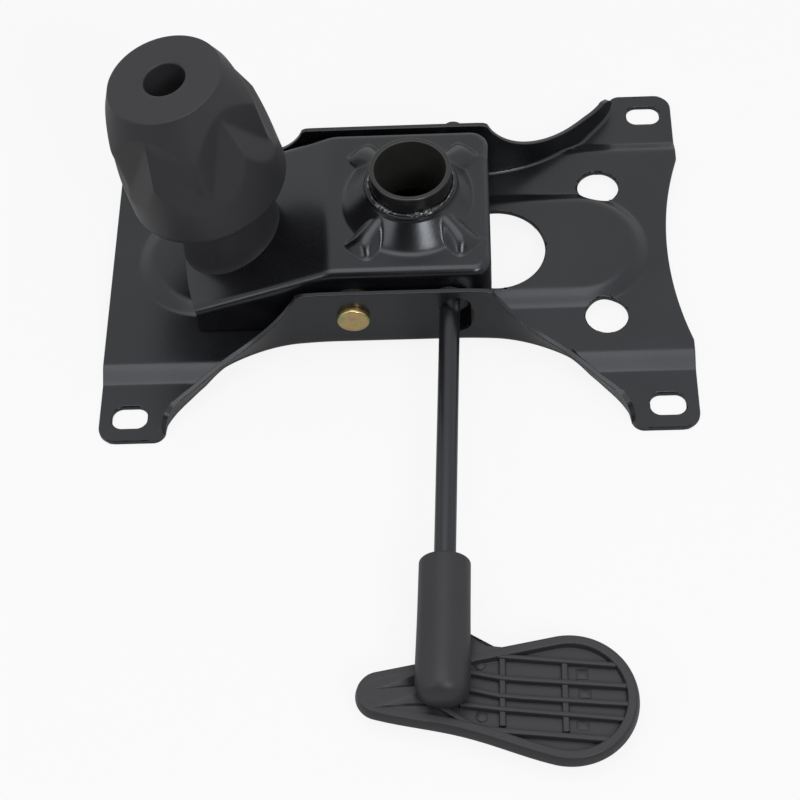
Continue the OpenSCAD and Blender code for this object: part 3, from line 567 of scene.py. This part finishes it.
def housing_pressing():
    """The pressed housing in four grids that share their edges: the collar, rings from the collar to the folds, a
    skirt of fold and wall carried round three sides, and the arm from the level top to its bowed front edge."""
    sides, bends, backs, arms, folds, walls = 68, 9, 75, 72, 10, 13  # counts of points along each stretch of the grids
    side_y, corner = WALL_Y - FOLD, np.array([BACK_X - CORNER, WALL_Y - CORNER])
    side_x = np.linspace(JOIN_X, corner[0], sides)
    a = np.linspace(np.pi / 2, 0, bends + 1)[1:]
    ray = np.stack([np.cos(a), np.sin(a)], -1)
    back_y = np.linspace(corner[1], -corner[1], backs + 1)[1:]
    q = np.concatenate([np.stack([side_x, np.full(sides, side_y)], -1), corner + (CORNER - FOLD) * ray,
                        np.stack([np.full(backs, BACK_X - FOLD), back_y], -1)])
    n = np.concatenate([np.tile([0.0, 1.0], (sides, 1)), ray, np.tile([1.0, 0.0], (backs, 1))])
    mirror = np.array([1.0, -1.0])
    q = np.concatenate([q, (q[:sides + bends] * mirror)[::-1]])
    n = np.concatenate([n, (n[:sides + bends] * mirror)[::-1]])
    across = np.linspace(-side_y, side_y, arms + 2)
    loop = np.concatenate([q, np.stack([np.full(arms, JOIN_X), across[1:-1]], -1)])
    spoke = loop - [SOCKET_X, 0]
    reach = np.hypot(*spoke.T)
    spoke = spoke / reach[:, None]
    u = np.linspace(0, 1, 62) ** 1.3
    r = COLLAR_R + (reach[:, None] - COLLAR_R) * u
    x, y = SOCKET_X + r * spoke[:, :1], r * spoke[:, 1:]
    shape = greater(flare_rise(x, y), gusset_rise(x, y), 0.9) - 0.45
    z = TOP + shape + (FLARE - shape) * np.clip(1 - (r - COLLAR_R) / 0.8, 0, 1)
    rings = patch(x, y, z, wrap_rows=True)
    lift = np.linspace(0, 1, 6)
    collar = patch(x[:, :1] + 0 * lift, y[:, :1] + 0 * lift, TOP + FLARE + (COLLAR_TOP - TOP - FLARE) * lift, wrap_rows=True)
    rim_z = z[:len(q), -1:]
    turn = np.linspace(0, np.pi / 2, folds)
    down = np.linspace(0, 1, walls + 1)[1:]
    fold_x, fold_y = (q[:, k:k + 1] + n[:, k:k + 1] * FOLD * np.sin(turn) for k in (0, 1))
    fold_z = rim_z - FOLD * (1 - np.cos(turn))
    foot = q + n * FOLD
    on_back = np.clip(corner[1] + 1 - np.abs(q[:, 1]), 0, 1) * (q[:, 0] > corner[0])
    low = low_edge(foot[:, 0]) + (BACK_LOW - low_edge(foot[:, 0])) * on_back
    wall_z = fold_z[:, -1:] + (low[:, None] - fold_z[:, -1:]) * down
    skirt = patch(np.concatenate([fold_x, foot[:, :1] + 0 * down], 1), np.concatenate([fold_y, foot[:, 1:] + 0 * down], 1),
                  np.concatenate([fold_z, wall_z], 1))
    wy = np.concatenate([side_y + FOLD * np.sin(turn), np.full(walls, WALL_Y)])
    wz = np.concatenate([-FOLD * (1 - np.cos(turn)), np.full(walls, -FOLD)])
    wd = np.concatenate([np.zeros(folds), down])
    wy = np.concatenate([-wy[::-1], across[1:-1], wy])
    wz = np.concatenate([wz[::-1], np.zeros(arms), wz])
    wd = np.concatenate([wd[::-1], np.zeros(arms), wd])
    front = FRONT_X + FRONT_R - np.sqrt(FRONT_R ** 2 - wy ** 2)
    s = np.linspace(0, 1, 60)[:, None]
    ax = JOIN_X + (front - JOIN_X) * s
    start_z = np.concatenate([np.full(folds + walls, rim_z[-1, 0]), z[-arms:, -1], np.full(folds + walls, rim_z[0, 0])])
    az = start_z + (TOP - start_z) * np.clip(s * 8, 0, 1) - arm_drop(ax) + wz
    az = az + (low_edge(ax) - az) * wd
    arm = patch(ax, wy + 0 * ax, az)
    inside = np.array([-5.0, 0, 12.0])
    obj = piece("housing_pressing", [facing(g, inside) for g in (collar, rings, skirt, arm)], "housing", paint,
                ["tilt_housing"], solid=False)
    thicken(obj, SHEET)
    side = np.array([1.0, 0, 0])
    rod_along = rod_frame()[:, 1]
    cut(obj, [bar(circle(7.5), (PIVOT[0], -60, PIVOT[2]), (0, 120.0, 0), side),
              bar(circle(5.5), ROD_AT - 60 * rod_along, 120 * rod_along, rod_frame()[:, 0]),
              bar(circle(9.0), BOLT_AT, bolt_frame()[:, 2] * 34, bolt_frame()[:, 0])])
    soften(obj, 0.35)


# Gas lift socket and its weld

def taper_socket():
    """The taper tube: a lathe form with a straight outside, a slow taper inside and a rounded rim."""
    profile = rounded_path([(13.32, 44), (14.0, 58.3), (16.1, 58.3), (16.1, 30.6), (13.3, 30.6), (13.3, 43.9)],
                           [0.5, 0.6, 0.4, 0.4])
    tube = placed(turned(profile, 144), np.eye(3), (SOCKET_X, 0, 0))
    smooth(piece("taper_socket", [tube], "housing", socket_paint(), ["taper_tube"]))


def weld_bead():
    """The weld round the tube: a thin ring that swells into two rippled runs at the front."""
    a = around(720)[:, None]
    b = around(18)

    def run(middle, wide):
        off = (a - rad(middle) + np.pi) % (2 * np.pi) - np.pi
        return np.exp(-(off / rad(wide)) ** 4)

    runs = np.maximum(np.maximum(run(-131, 12), run(-68, 22)), 0.5 * run(60, 30))
    ripple = np.abs(np.sin(34 * a + 0.9 * np.sin(5 * a) + 0.5 * b))
    grit = np.sin(97 * a + 3 * b) * np.sin(41 * a - 2 * b + 1.3)
    r = 0.5 + runs * (0.75 + 0.35 * ripple + 0.15 * grit)
    ring_r, ring_z = 16.75, 50.1
    ring = ring_r + r * np.cos(b)
    bead = patch(SOCKET_X + ring * np.cos(a), ring * np.sin(a), ring_z + 0.9 * r * np.sin(b), True, True)
    smooth(piece("weld_bead", [bead], "housing", weld, ["tube_weld"]))


# Pivot pin

def pivot_pin_form():
    """The headed pin: a lathe form on Y with a rounded, faintly dished head and a chamfered tail."""
    profile = rounded_path([(0, 46.1), (3.6, 46.07), (4.6, 46.2), (6.4, 45.9), (6.5, 43.52), (4.5, 43.52), (4.5, -46.0),
                            (3.9, -46.5), (0, -46.5)], [0.5, 0.5, 0.8, 0.2, 0.05, 0.3, 0.3])
    turn = np.array([[1.0, 0, 0], [0, 0, -1.0], [0, 1.0, 0]])
    a = around(96)[:, None]
    grid = patch(profile[:, 0] * np.cos(a), profile[:, 0] * np.sin(a), profile[:, 1] + 0 * a, True, False)
    smooth(piece("pivot_pin_form", [placed(grid, turn, PIVOT)], "seat", zinc, ["pivot_pin"]))


# Tension bolt axis: cover, spring and knob

BOLT_AT, BOLT_LEAN = np.array([-62.8, 0, 3.0]), rad(9.2)
KNOB_START, KNOB_H = 50.2, 60.4


def bolt_frame():
    """Columns are the directions of the bolt's own X, Y and Z."""
    c, s = np.cos(BOLT_LEAN), np.sin(BOLT_LEAN)
    return np.array([[c, 0, -s], [0, 1, 0], [s, 0, c]])


def spring_sleeve():
    """The spring cover: a tapered sleeve on the bolt's axis whose foot follows the slope of the arm, with a small
    flared foot."""
    c, s = np.cos(BOLT_LEAN), np.sin(BOLT_LEAN)
    a = around(180)[:, None]
    foot_r, top_r, top = 20.5, 18.0, 53.2
    bore, hole, ledge, sunk = 15.8, 9.0, 26.8, 0.15
    reach = foot_r * np.cos(a)
    low = (TOP - BOLT_AT[2] + (BOLT_AT[0] - ARM_X + reach * c) * ARM_SLOPE - reach * s) / (c + s * ARM_SLOPE)
    t = np.concatenate([[0, 0.02, 0.05, 0.09], np.linspace(0.14, 1, 14)])
    flare = 0.9 * np.exp(-t * 22)
    out_r = foot_r + (top_r - foot_r) * t + flare
    out_h = low - sunk + (top - low) * t
    in_t = np.linspace(1, 0, 14)
    in_r = bore + 0 * in_t
    in_h = ledge + (top - ledge) * in_t + 0 * a
    last_r, last_h = np.array([hole, hole]), np.concatenate([ledge + 0 * a, low - sunk], 1)
    radius = np.concatenate([out_r, [top_r - 0.3, 16.1], in_r, last_r])
    height = np.concatenate([out_h[:, :-1], top - 0.3 + 0 * a, top + 0 * a, top + 0 * a, in_h, last_h], 1)
    grid = patch(radius * np.cos(a), radius * np.sin(a), height, True, True)
    obj = piece("spring_sleeve", [placed(grid, bolt_frame(), BOLT_AT)], "housing", plastic, ["spring_cover"])
    soften(obj, 0.25)


def tension_coil():
    """The coil spring: a round wire carried along a helix on the bolt's axis."""
    turns, r, wire, low, high = 6.0, 12.95, 2.2, 29.2, 73.2
    k = np.linspace(0, 1, 360)[:, None]
    a = 2 * np.pi * turns * k
    b = around(14)
    ends = np.clip(np.minimum(k, 1 - k) * 400, 0, 1)
    out, up = wire * ends * np.cos(b), wire * ends * np.sin(b)
    grid = patch((r + out) * np.cos(a), (r + out) * np.sin(a), low + (high - low) * k + up, False, True)
    obj = piece("tension_coil", [placed(grid, bolt_frame(), BOLT_AT)], "housing", steel, ["tension_spring"])
    smooth(obj)
    axis = bolt_frame()[:, 2]
    (BOLT_AT + axis * (low - wire)) * MM
    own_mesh(obj)


def knob_radius(a, t):
    """Radius of the knob at an angle and a height. Five upright flats, with a ridge of two leaning sides that grows
    out of each towards the rim, are bounded by a round skirt, a round rim and a sloping shoulder that cuts an arch
    into every flat."""
    fifth = 2 * np.pi / 5
    off = np.abs((a - rad(34) + fifth / 2) % fifth - fifth / 2)
    flat, turn = 24.9, rad(30)
    upright = lesser(flat / np.cos(off), flat / np.cos(fifth - off), 2.2) + 0 * t
    ridge = (flat * np.cos(turn) + 0.287 * (50.5 - t)) / np.cos(off - turn)
    skirt = 31.5 - 0.022 * t
    rim = skirt - 4 + np.sqrt(np.clip(16 - np.clip(4 - t, 0, None) ** 2, 0, None))
    shoulder = 21.9 + 0.445 * (KNOB_H - t)
    return lesser(lesser(greater(upright, ridge, 0.5), rim, 0.4), shoulder, 0.25)


def tension_knob_form():
    """The knob: rows round its axis; columns from the cavity, under the rim, up the outside, over the top edge and
    down the hole."""
    a = around(360)[:, None]
    rim, rounding = 4, 0.6
    t = np.concatenate([rim - rim * np.cos(np.linspace(0, np.pi / 2, 9)), np.linspace(rim, KNOB_H - rounding, 170)[1:]])
    out_r = knob_radius(a, t)
    edge = np.linspace(0, np.pi / 2, 8)[1:]
    top_r = out_r[:, -1:] - rounding * (1 - np.cos(edge))
    top_h = KNOB_H - rounding + rounding * np.sin(edge)
    flat = np.array([19.0, 17.0, 15.2, 15.0, 12.0, 9.2, 8.5, 8.1, 8.0])
    flat_h = KNOB_H + np.array([0, 0, 0, 0, 0, 0, -0.08, -0.35, -0.9])
    cavity = rounded_path([(8.0, 36.2), (9.8, 36.2), (9.8, 28.0), (21.3, 28.0), (25.0, 0.6), (25.6, 0.0), (26.6, 0.0)],
                          [0.2, 0.3, 0.8, 0.6, 0.3])
    radius = np.concatenate([cavity[:, 0] + 0 * a, out_r, top_r, flat + 0 * a], 1)
    height = np.concatenate([cavity[:, 1], t, top_h, flat_h]) + 0 * a
    grid = patch(radius * np.cos(a), radius * np.sin(a), KNOB_START + height, True, True)
    obj = piece("tension_knob_form", [placed(grid, bolt_frame(), BOLT_AT)], "knob", plastic, ["tension_knob"])
    soften(obj, 0.2, 50)


# Lever handle

ROD_YAW, ROD_FALL = rad(1.66), rad(2.0)
LOBE, TAIL, LOBE_R, TAIL_R = np.array([44.3, -202.7]), np.array([-22.4, -201.6]), 24.4, 8.8
PADDLE_TOP, PADDLE_LOW, PADDLE_FLOOR = -5.5, -11.5, -8.2


def rod_frame():
    """Columns are the directions of the rod's own X, Y and Z: sloped about X, then turned about Z."""
    cf, sf, cy, sy = np.cos(ROD_FALL), np.sin(ROD_FALL), np.cos(ROD_YAW), np.sin(ROD_YAW)
    return np.array([[cy, sy, 0], [-sy, cy, 0], [0, 0, 1]]) @ np.array([[1, 0, 0], [0, cf, -sf], [0, sf, cf]])


def grip_sleeve():
    """The grip: a lathe form on the rod's axis, a little fuller towards its end, with a small round shoulder and a
    domed end."""
    profile = rounded_path([(4.05, -153.4), (8.9, -153.4), (9.4, -154.0), (9.5, -176), (9.9, -199), (9.3, -205.2),
                            (5.6, -208.2), (0, -208.6)], [0.3, 0.5, 8, 6, 4.0, 4], 8)
    a = around(120)[:, None]
    return patch(profile[:, 0] * np.cos(a), profile[:, 1] + 0 * a, profile[:, 0] * np.sin(a), True, False)


def paddle_outline():
    """The paddle's outline as two circles and their common tangents, the near one a little hollow: middles, spokes
    and radii."""
    reach = TAIL - LOBE
    axis, opening = np.arctan2(reach[1], reach[0]), np.arccos((LOBE_R - TAIL_R) / np.hypot(*reach))
    lobe, side, tail = 110, 70, 50  # counts of points along each stretch
    s = np.linspace(0, 1, side + 2)[1:-1]
    angle = np.concatenate([np.linspace(axis + opening - 2 * np.pi, axis - opening, lobe), np.full(side, axis - opening),
                            np.linspace(axis - opening, axis + opening, tail), np.full(side, axis + opening)])
    share = np.concatenate([np.zeros(lobe), s, np.ones(tail), 1 - s])
    hollow = np.concatenate([np.zeros(lobe + side + tail), 1.7 * np.sin(np.pi * s) ** 2])
    radius = LOBE_R + (TAIL_R - LOBE_R) * share - hollow
    return LOBE + reach * share[:, None], np.stack([np.cos(angle), np.sin(angle)], -1), radius


def groove(x, y, tip, mouth, width):
    """Depth from 0 to 1 of a tapered groove that runs from its tip to its mouth: a steep near side and a gently
    sloping far one."""
    t = np.clip((x - tip[0]) / (mouth[0] - tip[0]), 0, 1)
    over = (y - tip[1] - (mouth[1] - tip[1]) * t * (2 - t)) / np.clip(width * t, 0.3, None)
    return t * np.clip(over / 0.14, 0, 1) * np.clip((1 - over) / 0.86, 0, 1) * np.clip((mouth[0] + 6 - x) / 2, 0, 1)


def paddle_dish():
    """The paddle: a section of floor, rim and underside carried round the outline and closed on its middle line.
    Left of the grip the floor comes up to the rim and two tapered grooves are sunk in it."""
    middle, spoke, radius = paddle_outline()
    rim_in, rim_out, rows = 5.4, 0.9, 21
    rim = rounded_path([(rim_in, PADDLE_FLOOR), (4.8, PADDLE_FLOOR), (4.4, PADDLE_TOP), (2.6, PADDLE_TOP),
                        (rim_out, PADDLE_TOP), (0, PADDLE_LOW + 1.5), (0.5, PADDLE_LOW), (2.5, PADDLE_LOW)],
                       [0.6, 0.6, 0.8, 2.2, 1.0, 0.8], 6)
    fill = np.linspace(0, 1, rows + 1)[:-1]
    r = np.concatenate([(radius[:, None] - rim_in) * fill, radius[:, None] - rim[:, 0], 0 * radius[:, None]], 1)
    height = np.concatenate([np.full(rows, PADDLE_FLOOR), rim[:, 1], [PADDLE_LOW]])
    x, y = middle[:, :1] + spoke[:, :1] * r, middle[:, 1:] + spoke[:, 1:] * r
    upper = np.arange(r.shape[1]) < rows + int(np.argmax(rim[:, 0] < rim_out))
    raised = PADDLE_TOP - 0.04 - 5 * np.clip((x + 5) / 4, 0, 1)
    sunk = groove(x, y, (-23.4, -200.6), (-9.5, -199.4), 4.4) + groove(x, y, (-24.6, -207.8), (-9.5, -206.6), 4.4)
    z = np.where(upper, np.maximum(height, raised) - 2.8 * sunk, height)
    return patch(x, y, z, True, False)


def rib(path, wide, top, low):
    """A rib: a section with drafted sides and a rounded top carried along a path on the paddle, closed at both
    ends."""
    path = np.asarray(path, float)
    ahead = np.gradient(path, axis=0)
    ahead /= np.linalg.norm(ahead, axis=1)[:, None]
    half = wide / 2
    section = rounded_path([(-half - 0.25, low), (-half, top), (half, top), (half + 0.25, low)], [0.5, 0.5])
    keep = np.concatenate([[0], np.arange(len(path)), [-1]])
    size = np.concatenate([[0.0], np.ones(len(path)), [0.0]])[:, None]
    x = path[keep, :1] - ahead[keep, 1:] * section[:, 0] * size
    y = path[keep, 1:] + ahead[keep, :1] * section[:, 0] * size
    return patch(x, y, section[:, 1] + 0 * x, False, True)


def pad(outline, low, top):
    """A flat pad: a closed loop of points between two heights, with a slightly smaller top, closed on its
    middle."""
    middle = outline.mean(0)
    size = np.array([0.0, 1.0, 1.0, 0.94, 0.0])[:, None]
    height = np.array([low, low, top - 0.1, top, top])[:, None]
    x, y = (middle[k] + (outline[:, k] - middle[k]) * size for k in (0, 1))
    return patch(x, y, height, False, True)


def lever_handle_form():
    """Grip, dish, ribs and small pads of the handle as one piece in the rod's own frame."""
    rib_top, low = PADDLE_TOP - 0.35, PADDLE_FLOOR - 0.5
    ribs = [rib(path, wide, top, low) for path, wide, top in [
        ([(7, -186.3), (26.8, -187.9), (60.4, -190.5)], 1.7, rib_top),
        ([(7, -193.2), (19.8, -195.6), (28, -196.3), (64.0, -198.5)], 1.7, rib_top),
        ([(7, -199.6), (19.9, -202.4), (28, -203.1), (64.3, -205.3)], 1.7, rib_top),
        ([(6, -205.7), (19.9, -207.4), (62.9, -210.9)], 1.7, rib_top),
        ([(-3, -205.4), (0.4, -207.3), (4.3, -209.9), (7.2, -212.0), (10.0, -213.6), (14.7, -215.0), (19.9, -215.6),
          (57.6, -218.5)], 2.0, PADDLE_TOP - 0.1),
        ([(20.6, -187.0), (20.8, -213.6)], 2.2, rib_top - 0.6),
        ([(42.4, -188.6), (42.8, -215.6)], 2.2, rib_top - 0.6)]]
    web = pad(np.array([(7.0, -177.6), (7.0, -189.0), (24.0, -184.6), (16.4, -184.0), (12.2, -182.2)]),
              PADDLE_LOW + 0.4, PADDLE_TOP - 0.05)
    bosses = [pad(circle(2.1, 32) + at, low, PADDLE_FLOOR + 0.5) for at in [(12.7, -189.9), (13.6, -209.6)]]
    marks = [pad(rounded_box(4.4, 4.0, 0.4, 3) + at, low, PADDLE_FLOOR + 0.2)
             for at in [(48.6, -193.4), (49.5, -200.6), (48.6, -212.4)]]
    parts = [grip_sleeve(), paddle_dish(), web] + ribs + bosses + marks
    obj = piece("lever_handle_form", [placed(g, rod_frame(), ROD_AT) for g in parts], "lever", plastic, ["lever_handle"])
    soften(obj, 0.15, 55)


seat_pressing()
housing_pressing()
taper_socket()
weld_bead()
pivot_pin_form()
spring_sleeve()
tension_coil()
tension_knob_form()
lever_handle_form()

for finish, nodes in ((paint, ("lever_rod", "release_tongue", "tube_stay", "pivot_sleeve")),
                      (steel, ("pin_ring", "rod_clip", "spring_seat", "tension_bolt")), (zinc, ("knob_nut",)),
                      (nylon, ("pivot_bush_near", "pivot_bush_far", "rod_bush_near", "rod_bush_far"))):
    for node in nodes:
        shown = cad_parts[node]
        shown.data.materials.clear()
        shown.data.materials.append(finish.material)


# Floor, light and camera

def pale_floor():
    """A wide plain floor: mostly plain white to the camera, so that only a soft shadow shows on it."""
    x, y = np.meshgrid([-4.0, 4.0], [-4.0, 4.0], indexing="ij")
    mesh = bpy.data.meshes.new("floor")
    mesh.from_pydata(np.stack([x, y, 0 * x - 0.0002], -1).reshape(-1, 3), [], [[0, 2, 3, 1]])
    obj = bpy.data.objects.new("floor", mesh)
    bpy.context.collection.objects.link(obj)
    f = Finish("pale_floor", "none")
    f.set(Base_Color=(0.6, 0.6, 0.6, 1), Roughness=0.9, Specular_IOR_Level=0.0)
    seen = f.node("ShaderNodeLightPath", out="Is Camera Ray")
    glow = f.node("ShaderNodeEmission", {}, {"Color": (1, 1, 1, 1), "Strength": 1.0})
    mixed = f.node("ShaderNodeMixShader", {}, {0: 0.88 * seen, 1: Value(f, f.shader.outputs[0]), 2: glow})
    f.tree.links.new(mixed.socket, f.tree.nodes["Material Output"].inputs["Surface"])
    obj.data.materials.append(f.material)


def lamp(name, place, aim, size, power):
    """A square soft lamp at a place, turned to an aim point."""
    data = bpy.data.lights.new(name, "AREA")
    data.shape, data.size, data.energy = "SQUARE", size, power
    obj = bpy.data.objects.new(name, data)
    back = np.asarray(place, float) - aim
    back /= np.linalg.norm(back)
    right = np.cross([0, 0, 1.0] if abs(back[2]) < 0.99 else [0, 1.0, 0], back)
    right /= np.linalg.norm(right)
    obj.matrix_world = Matrix(np.vstack([np.column_stack([right, np.cross(back, right), back, place]), [0, 0, 0, 1]]))
    bpy.context.collection.objects.link(obj)


def dark_card():
    """A dark card behind the camera, as in a studio, so that glossy paint has something dark to mirror; the camera
    never sees it."""
    x, z = np.meshgrid([-2.4, 2.4], [0.2, 2.6], indexing="ij")
    mesh = bpy.data.meshes.new("dark_card")
    mesh.from_pydata(np.stack([x, 0 * x - 1.7, z], -1).reshape(-1, 3), [], [[0, 1, 3, 2]])
    obj = bpy.data.objects.new("dark_card", mesh)
    bpy.context.collection.objects.link(obj)
    f = Finish("dark_card", "none")
    f.set(Base_Color=(0.04, 0.04, 0.04, 1), Roughness=0.9, Specular_IOR_Level=0.0)
    obj.data.materials.append(f.material)
    obj.visible_camera = False


def white_world():
    """A world that is white where it is seen or mirrored, and a softer grey as light."""
    world = bpy.data.worlds.new("white_world")
    bpy.context.scene.world = world
    world.use_nodes = True
    nodes, links = world.node_tree.nodes, world.node_tree.links
    path = nodes.new("ShaderNodeLightPath")
    total = path.outputs["Is Camera Ray"]
    for name in ("Is Glossy Ray", "Is Transmission Ray"):
        larger = nodes.new("ShaderNodeMath")
        larger.operation = "MAXIMUM"
        links.new(total, larger.inputs[0])
        links.new(path.outputs[name], larger.inputs[1])
        total = larger.outputs[0]
    strength = nodes.new("ShaderNodeMapRange")
    strength.inputs["To Min"].default_value = 0.5
    strength.inputs["To Max"].default_value = 1.0
    links.new(total, strength.inputs["Value"])
    nodes["Background"].inputs["Color"].default_value = (1, 1, 1, 1)
    links.new(strength.outputs[0], nodes["Background"].inputs["Strength"])


pale_floor()
white_world()
dark_card()
MIDDLE = (0, -0.03, 0)
lamp("overhead_lamp", (-0.05, -0.1, 1.3), MIDDLE, 1.1, 7)
lamp("right_lamp", (0.42, -0.85, 0.78), MIDDLE, 0.36, 5)
lamp("left_lamp", (-0.75, -0.75, 0.7), MIDDLE, 0.35, 1.5)

# The camera's lens and place are those that fit the photograph's slots, holes and straight edges.
eye = bpy.data.cameras.new("photo_eye")
eye.lens, eye.sensor_width, eye.clip_start, eye.clip_end = 89.93, 36.0, 0.01, 50.0
camera = bpy.data.objects.new("photo_eye", eye)
camera.matrix_world = Matrix(((0.99875, 0.02655, 0.0423, 0.0340), (0.00203, 0.82478, -0.5655, -0.5116),
                              (-0.04992, 0.56490, 0.8237, 0.6453), (0, 0, 0, 1)))
bpy.context.collection.objects.link(camera)
bpy.context.scene.camera = camera
bpy.context.scene.view_settings.view_transform = "Standard"

bpy.context.view_layer.update()
